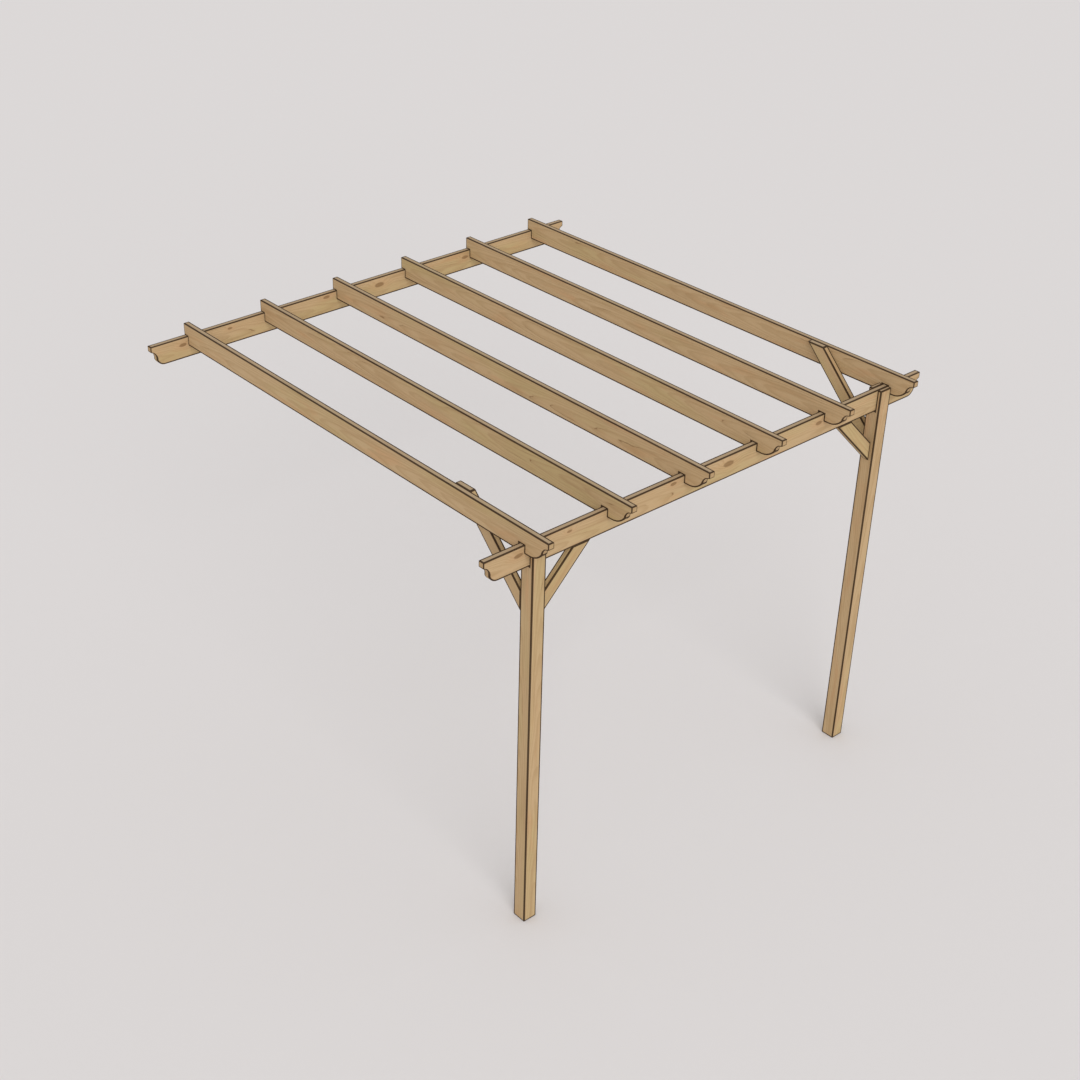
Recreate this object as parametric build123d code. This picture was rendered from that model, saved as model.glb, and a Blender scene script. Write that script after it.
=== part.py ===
from build123d import *
import os
from math import cos, radians, sin, tan

# Lean-to timber pergola: two posts carry a front runner, a second runner is
# fixed to a wall, and six rafters lie across both. All sizes in millimetres.
# X runs along the runners, Y from the garden to the wall and Z up. The origin
# is the centre of the wall runner's back face.

# One planed section serves the runners and the rafters.
timber_thickness = 40
timber_depth = 145
runner_length = 3600
rafter_length = 3600

# The rafters, and how far each one sits down over a runner.
rafter_count = 6
rafter_pitch = 600
rafter_overhang = 190
front_notch_depth = 50
wall_notch_depth = 63

# Square posts, slotted at the top for the front runner.
post_size = 95
post_height = 2700

# Braces, mitred where they meet a post or the underside of the runner.
brace_thickness = 40
brace_depth = 90
brace_angle = 45
runner_brace_reach = 350
rafter_brace_drop = 465

# Room left on each side of a timber in its notch or slot.
fit_gap = 0.5

# Scroll cut at the ends: a square nib, a sloping step, a hollow cove and a
# round nose that runs out into the underside. Drops are from the top edge and
# runs are from the end. A rafter's nose is drawn out longer than a runner's.
nib_drop = 38
step_drop = 47
cove_radius = 56
rafter_step_run = 26
rafter_cove_run = 50
rafter_cove_drop = 92
rafter_nose_run = 150
runner_step_run = 18
runner_cove_run = 39
runner_cove_drop = 101
runner_nose_run = 98

# Heights that follow: the rafters hang on the wall runner, and the front
# runner and its posts come up to them.
wall_runner_top = timber_depth / 2
rafter_bottom = wall_runner_top - wall_notch_depth
rafter_top = rafter_bottom + timber_depth
front_runner_top = rafter_bottom + front_notch_depth
front_runner_bottom = front_runner_top - timber_depth
ground = front_runner_top - post_height

# Places that follow: the front runner's middle is also the posts' middle, and
# the posts stand against the inner sides of the two outer rafters.
front_runner_y = -rafter_length + rafter_overhang + timber_thickness / 2
post_back = front_runner_y + post_size / 2
post_outer = (rafter_count - 1) / 2 * rafter_pitch - timber_thickness / 2
post_inner = post_outer - post_size


def scroll_cut(step_run, cove_run, cove_drop, nose_run):
    """The cut at one end, from the top corner round to the underside."""
    corner = (0, 0)
    nib = (0, -nib_drop)
    step = (step_run, -step_drop)
    tip = (cove_run, -cove_drop)
    tail = (nose_run, -timber_depth)
    cove = RadiusArc(step, tip, cove_radius)
    nose = TangentArc(tail, tip, tangent=(-1, 0))
    return Curve() + [Line(corner, nib), Line(nib, step), cove, nose]


def runner():
    """A runner with a scroll at both ends, its back face on Y = 0."""
    half = runner_length / 2
    cut = scroll_cut(runner_step_run, runner_cove_run, runner_cove_drop, runner_nose_run)
    left_end = Pos(-half, 0) * cut
    right_end = mirror(left_end, about=Plane.YZ)
    top = Line((-half, 0), (half, 0))
    tail = half - runner_nose_run
    underside = Line((-tail, -timber_depth), (tail, -timber_depth))
    outline = make_face(left_end.edges() + right_end.edges() + [top, underside])
    return extrude(Plane.XZ * outline, amount=timber_thickness)


def rafter():
    """A rafter with its scroll to the front, its top edge on Z = 0."""
    cut = scroll_cut(rafter_step_run, rafter_cove_run, rafter_cove_drop, rafter_nose_run)
    notch_start = rafter_overhang - fit_gap
    notch_end = rafter_overhang + timber_thickness + fit_gap
    notch_seat = front_notch_depth - timber_depth
    rebate_start = rafter_length - timber_thickness - fit_gap
    rebate_seat = wall_notch_depth - timber_depth
    rest = Polyline(
        (rafter_nose_run, -timber_depth),
        (notch_start, -timber_depth),
        (notch_start, notch_seat),
        (notch_end, notch_seat),
        (notch_end, -timber_depth),
        (rebate_start, -timber_depth),
        (rebate_start, rebate_seat),
        (rafter_length, rebate_seat),
        (rafter_length, 0),
        (0, 0),
    )
    outline = Pos(-rafter_length, 0) * make_face(cut.edges() + rest.edges())
    return extrude(Plane.YZ * outline, amount=timber_thickness / 2, both=True)


def post():
    """A square post, its top slotted through for the front runner."""
    body = Box(post_size, post_size, post_height, align=(Align.CENTER, Align.CENTER, Align.MIN))
    slot_width = timber_thickness + 2 * fit_gap
    slot = Box(post_size, slot_width, timber_depth, align=(Align.CENTER, Align.CENTER, Align.MAX))
    return body - Pos(0, 0, post_height) * slot


def runner_brace():
    """The brace from the left post's inner side up to the front runner."""
    drop = runner_brace_reach * tan(radians(brace_angle))
    level_cut = brace_depth / sin(radians(brace_angle))
    upright_cut = brace_depth / cos(radians(brace_angle))
    outline = make_face(
        Polyline(
            (0, -drop),
            (runner_brace_reach, 0),
            (runner_brace_reach - level_cut, 0),
            (0, upright_cut - drop),
            close=True,
        )
    )
    return extrude(Plane.XZ * outline, amount=brace_thickness / 2, both=True)


def rafter_brace():
    """The brace from a post's back up the inner side of the outer rafter."""
    rise = rafter_top - front_runner_top + rafter_brace_drop
    run = rise / tan(radians(brace_angle))
    level_cut = brace_depth / sin(radians(brace_angle))
    upright_cut = brace_depth / cos(radians(brace_angle))
    outline = make_face(
        Polyline(
            (0, 0),
            (run, rise),
            (run - level_cut, rise),
            (0, upright_cut),
            close=True,
        )
    )
    return extrude(Plane.YZ * outline, amount=brace_thickness / 2, both=True)


def build():
    """Every timber in its place, by name."""
    timbers = {}
    timbers["wall_runner"] = Pos(0, 0, wall_runner_top) * runner()
    front_place = Pos(0, front_runner_y + timber_thickness / 2, front_runner_top)
    timbers["front_runner"] = front_place * runner()

    for number in range(rafter_count):
        across = (number - (rafter_count - 1) / 2) * rafter_pitch
        timbers[f"rafter_{number + 1}"] = Pos(across, 0, rafter_top) * rafter()

    post_place = Pos(-post_outer + post_size / 2, front_runner_y, ground)
    brace_foot = front_runner_top - rafter_brace_drop
    left_side = {
        "post": post_place * post(),
        "runner_brace": Pos(-post_inner, front_runner_y, front_runner_bottom) * runner_brace(),
        "rafter_brace": Pos(-post_outer + brace_thickness / 2, post_back, brace_foot) * rafter_brace(),
    }
    for name, timber in left_side.items():
        timbers[f"left_{name}"] = timber
        timbers[f"right_{name}"] = mirror(timber, about=Plane.YZ)
    return timbers


os.makedirs("parts", exist_ok=True)
for name, timber in build().items():
    export_step(timber, f"parts/{name}.step")
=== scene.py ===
from collections import namedtuple
from math import radians

import bmesh
import bpy
from mathutils import Euler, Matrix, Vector


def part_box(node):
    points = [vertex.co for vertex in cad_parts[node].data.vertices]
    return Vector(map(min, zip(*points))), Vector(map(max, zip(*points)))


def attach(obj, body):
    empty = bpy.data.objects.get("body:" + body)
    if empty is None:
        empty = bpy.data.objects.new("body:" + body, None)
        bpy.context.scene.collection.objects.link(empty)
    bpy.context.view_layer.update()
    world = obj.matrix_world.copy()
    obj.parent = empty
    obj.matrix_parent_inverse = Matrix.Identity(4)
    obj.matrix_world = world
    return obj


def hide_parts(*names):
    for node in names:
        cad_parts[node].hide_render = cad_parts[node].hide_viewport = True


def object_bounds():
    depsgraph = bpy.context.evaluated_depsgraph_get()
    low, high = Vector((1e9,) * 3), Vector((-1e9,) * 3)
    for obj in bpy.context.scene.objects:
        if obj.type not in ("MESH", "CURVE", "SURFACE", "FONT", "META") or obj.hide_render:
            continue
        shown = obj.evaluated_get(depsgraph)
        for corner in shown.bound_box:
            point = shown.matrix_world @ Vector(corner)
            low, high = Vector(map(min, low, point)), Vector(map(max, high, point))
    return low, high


bl_info = {
    "name": "Lean-to Timber Pergola",
    "version": (1, 0, 0),
    "blender": (4, 5, 0),
    "location": "View3D > Sidebar > Pergola",
    "description": "Dresses the timbers of a lean-to pergola and sets up its studio",
    "category": "Object",
}

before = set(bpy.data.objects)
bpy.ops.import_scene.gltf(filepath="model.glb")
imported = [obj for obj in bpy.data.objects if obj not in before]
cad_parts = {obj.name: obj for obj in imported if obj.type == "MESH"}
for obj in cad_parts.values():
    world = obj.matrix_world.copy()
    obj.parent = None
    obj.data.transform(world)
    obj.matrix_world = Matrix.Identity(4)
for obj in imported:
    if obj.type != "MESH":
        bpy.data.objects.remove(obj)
cad_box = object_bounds()

# ---- Shaping a timber ----

# Two corners of a CAD mesh nearer than this are one corner, in metres.
SAME_CORNER = 0.00002
# Neighbouring faces within this angle are one flat face.
STILL_FLAT = radians(0.2)
# Edges sharper than this are arrises. The scroll's curved facets are not.
ARRIS_ANGLE = radians(28)
# The rounding of an arris has this many facets, and is shaded as one curve.
ARRIS_FACETS = 2
SMOOTH_ANGLE = radians(50)
# Material slot that sets the rounded arrises apart while a timber is shaped.
ROUNDED = 1
# Attribute that is 1 on an arris and falls to 0 where the dark band ends.
ARRIS_MARK = "arris"

# ---- How the timbers lie in their logs ----

# A timber's grain: the turn that brings it onto the X axis, the place of the
# log's pith, and a number that gives each timber its own part of the noise.
Grain = namedtuple("Grain", "turn pith seed")

ALONG_RUNNER = Euler((0, 0, 0))
ALONG_RAFTER = Euler((0, 0, radians(-90)))
ALONG_POST = Euler((0, radians(90), 0))
ALONG_BRACE = {
    "left_runner_brace": Euler((0, radians(45), 0)),
    "right_runner_brace": Euler((0, radians(-45), 0)),
    "left_rafter_brace": Euler((radians(-45), 0, radians(-90))),
    "right_rafter_brace": Euler((radians(-45), 0, radians(-90))),
}

# From the middle of a timber to its pith, in metres. A rafter's pith lies above
# its middle or below it by turns, and a post's is given at the origin's height.
RUNNER_PITH = Vector((0, 0.055, -0.030))
RAFTER_PITH = Vector((0.060, 0, 0.020))
POST_PITH = Vector((0.030, 0.045, 0))
BRACE_PITH = Vector((0.035, 0.035, -0.020))

# The first seed of each kind of timber, and how far one seed moves the noise.
RUNNER_SEED, RAFTER_SEED, POST_SEED, BRACE_SEED = 1, 11, 21, 31
SEED_STEP = (7.31, 3.17, 5.73)

# ---- The wood ----

# A pattern's noise cells to the metre, along the grain and across it both ways,
# then the noise's detail and roughness.
Pattern = namedtuple("Pattern", "cells detail roughness", defaults=(0.5,))
SLOW = Pattern((0.9, 5, 5), 2.0)
DRIFT = Pattern((2.6, 16, 16), 3.0)
STREAK = Pattern((1.7, 34, 34), 3.0, 0.6)
FIBRE = Pattern((9, 420, 420), 3.0, 0.6)
WOBBLE = Pattern((16, 38, 38), 2.0)
FLECK = Pattern((42, 640, 640), 1.0)
SPLIT = Pattern((1.5, 27, 27), 1.0)

# How far each pattern and a knot push the rings about, in metres.
SLOW_REACH = 0.05
DRIFT_REACH = 0.012
KNOT_REACH = 0.016

# From here on a pair is where a smooth rise or fall begins and ends. Across one
# ring, the late wood darkens and stops, and a drying check opens and closes.
LATE_RISE, LATE_FALL = (0.35, 0.86), (0.90, 1.00)
CHECK_RISE, CHECK_FALL = (0.84, 0.88), (0.90, 0.94)
# On the patterns: where wood has checked, and where a patch or mark shows.
CHECKED = (0.62, 0.68)
SAP_RISE = (0.50, 0.70)
BLUSH_RISE = (0.52, 0.74)
STREAK_RISE = (0.46, 0.74)
FIBRE_RISE = (0.48, 0.76)
FLECK_RISE = (0.66, 0.80)
# On a normal: how squarely it faces along the grain, or up.
END_RISE = (0.75, 0.95)
TOP_RISE = (0.70, 0.95)
SIDE_FALL = (0.50, 0.80)

# How strongly each layer of colour covers what is under it, from 0 to 1. A pair
# is the strength at the bottom and at the top of the pattern that mottles it.
SAP_COVER = 0.65
BLUSH_COVER = 0.62
LATE_COVER = 0.42
STREAK_COVER = 0.55
FIBRE_COVER = 0.50
FLECK_COVER = 0.34
END_COVER = 0.40
CHECK_COVER = 0.75
TOP_COVER = (0.55, 0.90)
BAND_COVER = (0.88, 1.00)

# The dark band along an arris, as shares of the way in from where it may begin
# to the arris. On a level timber it is narrow where rain runs off, along the
# upper edge of each side, and wide where rain lies. It is narrower on end grain.
BAND = (0.03, 0.36)
WET_BAND = (0.01, 0.20)
DRY_BAND = (0.37, 0.70)
END_NARROWS = 0.10
# How far above and below a level timber's middle the one turns into the other.
BAND_TURNS = 0.02

# The two runners carry their knots at the same places, given as metres along
# from the middle, up from the middle of the face, and half the length.
RUNNER_KNOTS = (
    (-1.560, 0.023, 0.036),
    (-1.196, 0.037, 0.022),
    (-0.405, 0.047, 0.030),
    (0.052, 0.018, 0.046),
    (0.838, 0.025, 0.034),
)
# A knot's height for its length, and how unevenly its outline runs.
KNOT_HEIGHT = 0.42
KNOT_WOBBLE = 0.7
# In half lengths out from a knot's middle.
HEART_FALL = (0.62, 1.00)
RIM_RISE, RIM_FALL = (0.55, 0.80), (0.85, 1.05)
PUSH_FALL = (0.60, 3.20)
HEART_COVER = (0.58, 0.88)
RIM_COVER = 0.16
PUSH_COVER = 0.35

# What the fibres, the late wood and the dark band add to the roughness.
FIBRE_ROUGH = 0.18
LATE_ROUGH = 0.05
BAND_ROUGH = 0.08
# How high the late wood, fibres and streaks stand, and how deep the rest goes.
LATE_HEIGHT = 0.5
FIBRE_HEIGHT = 0.9
STREAK_HEIGHT = 0.3
CHECK_DEPTH = 1.6
FLECK_DEPTH = 0.5
RELIEF_STRENGTH = 0.55
WOOD_SPECULAR = 0.15

# ---- The studio ----

FLOOR_ROUGHNESS = 0.95
# From the garden, a little to the left, and 30 degrees up.
KEY_TURN = Euler((radians(60), 0, radians(-25)))
CAMERA_PLACE = Vector((-6.6345, -9.1538, 4.7785))
CAMERA_TURN = Euler((radians(58.4245), radians(-0.0226), radians(-39.3242)))
CAMERA_SHIFT_X, CAMERA_SHIFT_Y = 0.0698, 0.0058
SENSOR_WIDTH = 36
CLIP_NEAR, CLIP_FAR = 0.1, 500

# The colour sockets of a Mix node, which share their names with others on it.
MIX_FIRST, MIX_SECOND, MIX_RESULT = 6, 7, 2


class PergolaSizes(bpy.types.PropertyGroup):
    """Sizes of what the joiner does to a sawn timber, and of its grain."""

    arris: bpy.props.FloatProperty(
        name="Arris rounding",
        description="How far back from a corner the planed arris is rounded",
        default=0.0022, min=0.0005, max=0.008, unit="LENGTH",
    )
    edge_band: bpy.props.FloatProperty(
        name="Dark edge band",
        description="Greatest width of the darkened band beside each arris",
        default=0.0080, min=0.001, max=0.02, unit="LENGTH",
    )
    ring_width: bpy.props.FloatProperty(
        name="Ring width",
        description="Width of one growth ring",
        default=0.0085, min=0.002, max=0.03, unit="LENGTH",
    )
    taper: bpy.props.FloatProperty(
        name="Log taper",
        description="How far the rings lean out over one metre, which draws the arches",
        default=0.030, min=0.0, max=0.1, unit="LENGTH",
    )
    grain_depth: bpy.props.FloatProperty(
        name="Grain depth",
        description="Height of the raised grain",
        default=0.0006, min=0.0, max=0.003, unit="LENGTH",
    )


class PergolaLooks(bpy.types.PropertyGroup):
    """Colours and finish of the timber."""

    early_wood: bpy.props.FloatVectorProperty(
        name="Early wood", description="Pale wood between the rings",
        default=(0.510, 0.356, 0.196), size=3, min=0, max=1, subtype="COLOR",
    )
    late_wood: bpy.props.FloatVectorProperty(
        name="Late wood", description="Darker wood at the end of each ring",
        default=(0.380, 0.244, 0.118), size=3, min=0, max=1, subtype="COLOR",
    )
    blush: bpy.props.FloatVectorProperty(
        name="Warm blush", description="Resin-rich patches",
        default=(0.520, 0.300, 0.150), size=3, min=0, max=1, subtype="COLOR",
    )
    sap: bpy.props.FloatVectorProperty(
        name="Sapwood", description="Yellower patches near the bark",
        default=(0.468, 0.362, 0.168), size=3, min=0, max=1, subtype="COLOR",
    )
    knot: bpy.props.FloatVectorProperty(
        name="Knot", description="Heart of a knot, flecks and drying checks",
        default=(0.215, 0.120, 0.048), size=3, min=0, max=1, subtype="COLOR",
    )
    edge: bpy.props.FloatVectorProperty(
        name="Edge", description="Darkened wood along each arris",
        default=(0.034, 0.016, 0.006), size=3, min=0, max=1, subtype="COLOR",
    )
    # Painted shade: this darker, greyer colour is laid on the faces that look up, for shade and
    # weathering both.
    shaded_weathered: bpy.props.FloatVectorProperty(
        name="Weathered top", description="Greyer wood on faces that look up",
        default=(0.385, 0.285, 0.182), size=3, min=0, max=1, subtype="COLOR",
    )
    roughness: bpy.props.FloatProperty(
        name="Roughness", description="How matt the planed wood is",
        default=0.68, min=0, max=1, subtype="FACTOR",
    )


class PergolaStage(bpy.types.PropertyGroup):
    """The studio that the pergola stands in."""

    floor_reach: bpy.props.FloatProperty(
        name="Floor reach", description="Length of the floor's sides",
        default=160.0, min=20, max=400, unit="LENGTH",
    )
    floor_colour: bpy.props.FloatVectorProperty(
        name="Floor colour", description="Colour of the plain floor",
        default=(0.729, 0.701, 0.696), size=3, min=0, max=1, subtype="COLOR",
    )
    backdrop_colour: bpy.props.FloatVectorProperty(
        name="Backdrop colour", description="What is seen past the floor",
        default=(0.701, 0.672, 0.665), size=3, min=0, max=1, subtype="COLOR",
    )
    room_light: bpy.props.FloatProperty(
        name="Room light", description="Strength of the even light from all round",
        default=0.75, min=0, max=3,
    )
    key_light: bpy.props.FloatProperty(
        name="Key light", description="Strength of the soft light from the garden side",
        default=1.45, min=0, max=10,
    )
    key_softness: bpy.props.FloatProperty(
        name="Key softness", description="Angle that the soft light covers",
        default=radians(40), min=0, max=radians(180), subtype="ANGLE",
    )
    lens: bpy.props.FloatProperty(
        name="Lens", description="Focal length of the camera",
        default=56.93, min=10, max=300, unit="CAMERA",
    )


class Wire:
    """A socket in a node tree, or with no socket the tree itself.

    Arithmetic on number sockets adds the Math nodes for it.
    """

    def __init__(self, tree, socket=None):
        self.tree = tree
        self.socket = socket

    def add(self, kind, settings=None, values=None, output=0):
        """Add a node: its settings first, then its sockets' values or links."""
        node = self.tree.nodes.new(kind)
        for key, value in (settings or {}).items():
            setattr(node, key, value)
        for key, value in (values or {}).items():
            if isinstance(value, Wire):
                self.tree.links.new(value.socket, node.inputs[key])
            else:
                node.inputs[key].default_value = value
        return Wire(self.tree, node.outputs[output]) if node.outputs else None

    def math(self, operation, *values):
        return self.add("ShaderNodeMath", {"operation": operation}, dict(enumerate(values)))

    def __add__(self, other):
        return self.math("ADD", self, other)

    __radd__ = __add__

    def __sub__(self, other):
        return self.math("SUBTRACT", self, other)

    def __rsub__(self, other):
        return self.math("SUBTRACT", other, self)

    def __mul__(self, other):
        return self.math("MULTIPLY", self, other)

    __rmul__ = __mul__

    def __truediv__(self, other):
        return self.math("DIVIDE", self, other)

    def __rtruediv__(self, other):
        return self.math("DIVIDE", other, self)

    def __abs__(self):
        return self.math("ABSOLUTE", self)

    def root(self):
        return self.math("SQRT", self)

    def fraction(self):
        return self.math("FRACT", self)

    def rise(self, low, high):
        """0 below low, 1 above high, and a smooth rise between them."""
        return self.add(
            "ShaderNodeMapRange", {"interpolation_type": "SMOOTHSTEP"},
            {"Value": self, "From Min": low, "From Max": high},
        )

    def fall(self, low, high):
        """1 below low, 0 above high, and a smooth fall between them."""
        return 1 - self.rise(low, high)

    def between(self, low, high):
        """low where this is 0, high where it is 1, and in step between them."""
        return low + self * (high - low)

    def swing(self, reach):
        """This pattern, moved to lie about 0 and made a reach wide."""
        return (self - 0.5) * reach

    def axes(self):
        """The X, Y and Z of this vector."""
        first = self.add("ShaderNodeSeparateXYZ", values={"Vector": self})
        return [Wire(self.tree, socket) for socket in first.socket.node.outputs]

    def mapped(self, turn=(0, 0, 0), shift=(0, 0, 0), scale=(1, 1, 1)):
        """This place scaled, then turned, then shifted."""
        return self.add(
            "ShaderNodeMapping", {"vector_type": "POINT"},
            {"Vector": self, "Rotation": turn, "Location": shift, "Scale": scale},
        )

    def noise(self, pattern, seed):
        """A soft random value from 0 to 1 at this place on a timber."""
        shift = [seed * step for step in SEED_STEP]
        return self.add(
            "ShaderNodeTexNoise", {"noise_dimensions": "3D"},
            {"Vector": self.mapped(shift=shift, scale=pattern.cells), "Scale": 1.0,
             "Detail": pattern.detail, "Roughness": pattern.roughness},
        )

    def mix(self, first, second, amount):
        """Two colours, plain or from a socket, mixed by an amount from 0 to 1."""
        values = {"Factor": amount, MIX_FIRST: solid(first), MIX_SECOND: solid(second)}
        return self.add("ShaderNodeMix", {"data_type": "RGBA"}, values, output=MIX_RESULT)

    def cover(self, colour, amount):
        """This colour with another laid over it."""
        return self.mix(self, colour, amount)


def solid(colour):
    """A plain colour with its alpha. A colour from a socket stays as it is."""
    return colour if isinstance(colour, Wire) else (*colour, 1)


def new_material(name):
    """A material with no nodes, and the wire that adds them."""
    material = bpy.data.materials.new(name)
    material.use_nodes = True
    material.node_tree.nodes.clear()
    return material, Wire(material.node_tree)


def knot_marks(x, z, knots, wobble):
    """The knots' hearts, their darker rims, and the grain that they push aside."""
    heart, rim, push = 0.0, 0.0, 0.0
    for along, up, half in knots:
        dx = (x - along) / half
        dz = (z - up) / (half * KNOT_HEIGHT)
        out = (dx * dx + dz * dz).root() + wobble.swing(KNOT_WOBBLE)
        heart = out.fall(*HEART_FALL) + heart
        rim = out.rise(*RIM_RISE) * out.fall(*RIM_FALL) + rim
        push = out.fall(*PUSH_FALL) + push
    return heart, rim, push


def timber_material(name, grain, knots, level):
    """Planed softwood: rings round a pith, fibres, blushes, knots and dark arrises.

    The knots' heights are from the pith. level is the height of a level timber's
    middle from its pith, and None for a timber that stands or slopes.
    """
    sizes = bpy.context.scene.pergola_sizes
    looks = bpy.context.scene.pergola_looks
    material, tree = new_material(name)

    # Places on the timber, with the grain along X and the pith at Y = Z = 0.
    shift = -(grain.turn.to_matrix() @ grain.pith)
    place = tree.add("ShaderNodeTexCoord", output="Object").mapped(grain.turn, shift)
    x, y, z = place.axes()
    slow, drift, streak, fibre, wobble, fleck, split = (
        place.noise(pattern, grain.seed)
        for pattern in (SLOW, DRIFT, STREAK, FIBRE, WOBBLE, FLECK, SPLIT)
    )

    # Which places are end grain, look up, or are on the sides.
    normal = tree.add("ShaderNodeNewGeometry", output="Normal")
    end = abs(normal.mapped(grain.turn).axes()[0]).rise(*END_RISE)
    up = normal.axes()[2]
    side = up.fall(*SIDE_FALL)

    # Growth rings: distance from the pith, leaning out along the log.
    out = (y * y + z * z).root() + x * sizes.taper
    out = out + slow.swing(SLOW_REACH) + drift.swing(DRIFT_REACH)
    if knots:
        heart, rim, push = knot_marks(x, z, knots, wobble)
        out = out + push * KNOT_REACH
    ring = (out / sizes.ring_width).fraction()
    late = ring.rise(*LATE_RISE) * ring.fall(*LATE_FALL)
    flecks = fleck.rise(*FLECK_RISE)

    # Drying checks follow the rings where the wood has opened, and spare the ends.
    check = ring.rise(*CHECK_RISE) * ring.fall(*CHECK_FALL) * split.rise(*CHECKED) * (1 - end)

    # Colour, from the broad patches down to the flecks.
    wood = tree.mix(looks.early_wood, looks.sap, slow.rise(*SAP_RISE) * SAP_COVER)
    wood = wood.cover(looks.blush, drift.rise(*BLUSH_RISE) * BLUSH_COVER)
    wood = wood.cover(looks.late_wood, late * LATE_COVER)
    wood = wood.cover(looks.late_wood, streak.rise(*STREAK_RISE) * STREAK_COVER)
    wood = wood.cover(looks.late_wood, fibre.rise(*FIBRE_RISE) * FIBRE_COVER)
    wood = wood.cover(looks.knot, flecks * FLECK_COVER)

    # End grain drinks in the stain. The tops get painted shade: faces that look up are
    # darkened, and greyed as weathered wood.
    wood = wood.cover(looks.late_wood, end * END_COVER)
    # Painted shade on the faces that look up, mottled by the streaks.
    wood = wood.cover(looks.shaded_weathered, up.rise(*TOP_RISE) * streak.between(*TOP_COVER))
    if knots:
        wood = wood.cover(looks.blush, push * side * PUSH_COVER)
        wood = wood.cover(looks.knot, heart * side * wobble.between(*HEART_COVER))
        wood = wood.cover(looks.edge, rim * side * RIM_COVER)
    wood = wood.cover(looks.knot, check * CHECK_COVER)

    # The dark band along every arris, a little broken by the streaks.
    begin, full = BAND
    if level is not None:
        dry = z.rise(level - BAND_TURNS, level + BAND_TURNS) * side
        begin, full = (dry.between(*pair) for pair in zip(WET_BAND, DRY_BAND))
    narrowed = end * END_NARROWS
    arris = tree.add("ShaderNodeAttribute", {"attribute_name": ARRIS_MARK}, output="Fac")
    dark = arris.rise(begin + narrowed, full + narrowed) * streak.between(*BAND_COVER)
    wood = wood.cover(looks.edge, dark)

    rough = looks.roughness + fibre.swing(FIBRE_ROUGH) + late * LATE_ROUGH + dark * BAND_ROUGH
    height = late * LATE_HEIGHT + fibre * FIBRE_HEIGHT + streak * STREAK_HEIGHT
    height = height - check * CHECK_DEPTH - flecks * FLECK_DEPTH
    relief = tree.add(
        "ShaderNodeBump",
        values={"Strength": RELIEF_STRENGTH, "Distance": sizes.grain_depth, "Height": height},
    )
    surface = tree.add(
        "ShaderNodeBsdfPrincipled",
        values={"Base Color": wood, "Roughness": rough, "Normal": relief,
                "Specular IOR Level": WOOD_SPECULAR},
    )
    tree.add("ShaderNodeOutputMaterial", values={"Surface": surface})
    return material


def select_only(piece):
    """Leave one object selected and active."""
    bpy.ops.object.select_all(action="DESELECT")
    piece.select_set(True)
    bpy.context.view_layer.objects.active = piece


def middle(node):
    """The middle of a CAD timber's box."""
    low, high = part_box(node)
    return (Vector(low) + Vector(high)) / 2


def planed_timber(node, grain, knots=(), level=None):
    """Stand for a CAD timber with a closed piece, its arrises rounded and marked."""
    sizes = bpy.context.scene.pergola_sizes
    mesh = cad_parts[node].data.copy()
    mesh.name = f"{node}_planed"
    mesh.materials.clear()
    wood = timber_material(f"{node}_wood", grain, knots, level)
    # One wood in two slots, the second of them for the rounded arrises.
    mesh.materials.append(wood)
    mesh.materials.append(wood)
    piece = bpy.data.objects.new(f"{node}_planed", mesh)
    bpy.context.scene.collection.objects.link(piece)
    select_only(piece)

    bpy.ops.object.mode_set(mode="EDIT")
    bpy.ops.mesh.select_mode(type="EDGE")
    bpy.ops.mesh.select_all(action="SELECT")
    bpy.ops.mesh.remove_doubles(threshold=SAME_CORNER)
    bpy.ops.mesh.dissolve_limited(angle_limit=STILL_FLAT)
    bpy.ops.mesh.select_all(action="DESELECT")
    bpy.ops.mesh.edges_select_sharp(sharpness=ARRIS_ANGLE)
    bpy.ops.mesh.bevel(
        offset=sizes.arris, segments=ARRIS_FACETS, affect="EDGES", material=ROUNDED
    )

    # Inset what isn't rounded, for the ring of faces that the dark band fades over.
    bpy.ops.mesh.select_mode(type="FACE")
    bpy.ops.mesh.select_all(action="DESELECT")
    shape = bmesh.from_edit_mesh(mesh)
    for face in shape.faces:
        face.select_set(face.material_index != ROUNDED)
    bmesh.update_edit_mesh(mesh)
    bpy.ops.mesh.inset(thickness=sizes.edge_band, use_even_offset=True)
    bpy.ops.object.mode_set(mode="OBJECT")

    # The faces inside the rings are still selected, and their corners take 0.
    marks = [1.0] * len(mesh.vertices)
    for face in mesh.polygons:
        face.material_index = 0
        if face.select:
            for corner in face.vertices:
                marks[corner] = 0.0
    mesh.attributes.new(ARRIS_MARK, "FLOAT", "POINT").data.foreach_set("value", marks)
    mesh.materials.pop(index=ROUNDED)
    select_only(piece)
    bpy.ops.object.shade_smooth_by_angle(angle=SMOOTH_ANGLE)

    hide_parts(node)
    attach(piece, "root")


class PERGOLA_OT_runners(bpy.types.Operator):
    """Plane the front runner and the wall runner"""

    bl_idname = "pergola.runners"
    bl_label = "Runners"

    def execute(self, context):
        level = -RUNNER_PITH.z
        knots = [(along, up + level, half) for along, up, half in RUNNER_KNOTS]
        for seed, node in enumerate(("front_runner", "wall_runner"), start=RUNNER_SEED):
            pith = middle(node) + RUNNER_PITH
            planed_timber(node, Grain(ALONG_RUNNER, pith, seed), knots, level)
        return {"FINISHED"}


class PERGOLA_OT_rafters(bpy.types.Operator):
    """Plane the six rafters"""

    bl_idname = "pergola.rafters"
    bl_label = "Rafters"

    def execute(self, context):
        rafters = sorted(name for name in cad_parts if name.startswith("rafter_"))
        for seed, node in enumerate(rafters, start=RAFTER_SEED):
            rise = RAFTER_PITH.z * (-1) ** seed
            pith = middle(node) + Vector((RAFTER_PITH.x, RAFTER_PITH.y, rise))
            planed_timber(node, Grain(ALONG_RAFTER, pith, seed), level=-rise)
        return {"FINISHED"}


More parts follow.
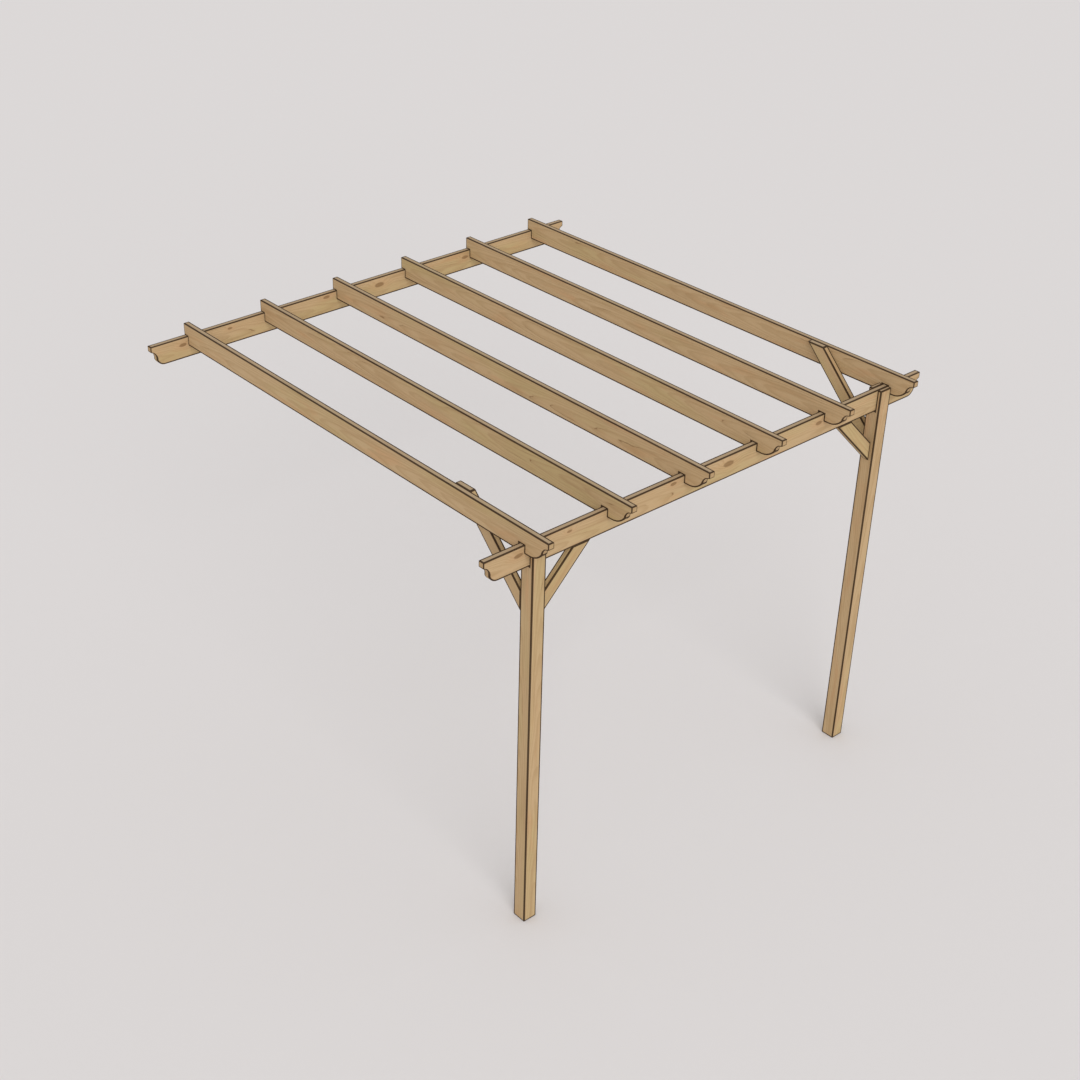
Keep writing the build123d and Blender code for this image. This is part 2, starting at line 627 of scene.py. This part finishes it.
class PERGOLA_OT_posts(bpy.types.Operator):
    """Plane the two posts"""

    bl_idname = "pergola.posts"
    bl_label = "Posts"

    def execute(self, context):
        for seed, node in enumerate(("left_post", "right_post"), start=POST_SEED):
            pith = middle(node) + POST_PITH
            pith.z = 0
            planed_timber(node, Grain(ALONG_POST, pith, seed))
        return {"FINISHED"}


class PERGOLA_OT_braces(bpy.types.Operator):
    """Plane the four braces"""

    bl_idname = "pergola.braces"
    bl_label = "Braces"

    def execute(self, context):
        for seed, (node, turn) in enumerate(ALONG_BRACE.items(), start=BRACE_SEED):
            pith = middle(node) + BRACE_PITH
            planed_timber(node, Grain(turn, pith, seed))
        return {"FINISHED"}


class PERGOLA_OT_stage(bpy.types.Operator):
    """Lay the floor, hang the lights and place the camera"""

    bl_idname = "pergola.stage"
    bl_label = "Stage"

    def execute(self, context):
        stage = context.scene.pergola_stage
        self.lay_floor(context, stage)
        self.hang_lights(context, stage)
        self.place_camera(context, stage)
        return {"FINISHED"}

    def lay_floor(self, context, stage):
        """A plain matt floor, level with the feet of the posts."""
        ground = cad_box[0][2]
        bpy.ops.object.select_all(action="DESELECT")
        bpy.ops.mesh.primitive_plane_add(size=stage.floor_reach, location=(0, 0, ground))
        floor = context.object
        floor.name = "studio_floor"
        material, tree = new_material("studio_floor")
        surface = tree.add(
            "ShaderNodeBsdfPrincipled",
            values={"Base Color": solid(stage.floor_colour), "Roughness": FLOOR_ROUGHNESS,
                    "Specular IOR Level": 0.0},
        )
        tree.add("ShaderNodeOutputMaterial", values={"Surface": surface})
        floor.data.materials.append(material)

    def hang_lights(self, context, stage):
        """Even light all round, seen as the backdrop's colour, and a soft key."""
        world = bpy.data.worlds.new("studio")
        world.use_nodes = True
        world.node_tree.nodes.clear()
        tree = Wire(world.node_tree)
        even = tree.add(
            "ShaderNodeBackground", values={"Color": (1, 1, 1, 1), "Strength": stage.room_light}
        )
        seen = tree.add(
            "ShaderNodeBackground",
            values={"Color": solid(stage.backdrop_colour), "Strength": 1.0},
        )
        ray = tree.add("ShaderNodeLightPath", output="Is Camera Ray")
        mixed = tree.add("ShaderNodeMixShader", values={0: ray, 1: even, 2: seen})
        tree.add("ShaderNodeOutputWorld", values={"Surface": mixed})
        context.scene.world = world

        lamp = bpy.data.lights.new("key_light", "SUN")
        lamp.energy = stage.key_light
        lamp.angle = stage.key_softness
        key = bpy.data.objects.new("key_light", lamp)
        key.rotation_euler = KEY_TURN
        context.scene.collection.objects.link(key)

    def place_camera(self, context, stage):
        """The camera at the picture's angle."""
        lens = bpy.data.cameras.new("garden_view")
        lens.lens = stage.lens
        lens.sensor_fit = "HORIZONTAL"
        lens.sensor_width = SENSOR_WIDTH
        lens.shift_x, lens.shift_y = CAMERA_SHIFT_X, CAMERA_SHIFT_Y
        lens.clip_start, lens.clip_end = CLIP_NEAR, CLIP_FAR
        view = bpy.data.objects.new("garden_view", lens)
        view.location = CAMERA_PLACE
        view.rotation_euler = CAMERA_TURN
        context.scene.collection.objects.link(view)
        context.scene.camera = view


class PERGOLA_PT_sidebar(bpy.types.Panel):
    """The pergola's pieces and settings"""

    bl_idname = "PERGOLA_PT_sidebar"
    bl_label = "Timber Pergola"
    bl_space_type = "VIEW_3D"
    bl_region_type = "UI"
    bl_category = "Pergola"

    def draw(self, context):
        for name in GROUPS:
            group = getattr(context.scene, name)
            box = self.layout.box()
            for field in group.__annotations__:
                box.prop(group, field)
        for operator in OPERATORS:
            self.layout.operator(operator.bl_idname)


OPERATORS = (
    PERGOLA_OT_runners,
    PERGOLA_OT_rafters,
    PERGOLA_OT_posts,
    PERGOLA_OT_braces,
    PERGOLA_OT_stage,
)
GROUPS = {
    "pergola_sizes": PergolaSizes,
    "pergola_looks": PergolaLooks,
    "pergola_stage": PergolaStage,
}


def register():
    for name, group in GROUPS.items():
        bpy.utils.register_class(group)
        setattr(bpy.types.Scene, name, bpy.props.PointerProperty(type=group))
    for operator in OPERATORS:
        bpy.utils.register_class(operator)
    bpy.utils.register_class(PERGOLA_PT_sidebar)


def unregister():
    bpy.utils.unregister_class(PERGOLA_PT_sidebar)
    for operator in reversed(OPERATORS):
        bpy.utils.unregister_class(operator)
    for name, group in GROUPS.items():
        delattr(bpy.types.Scene, name)
        bpy.utils.unregister_class(group)


def main():
    register()
    bpy.ops.pergola.runners()
    bpy.ops.pergola.rafters()
    bpy.ops.pergola.posts()
    bpy.ops.pergola.braces()
    bpy.ops.pergola.stage()
    bpy.context.scene.view_settings.view_transform = "Standard"


if __name__ == "__main__":
    main()
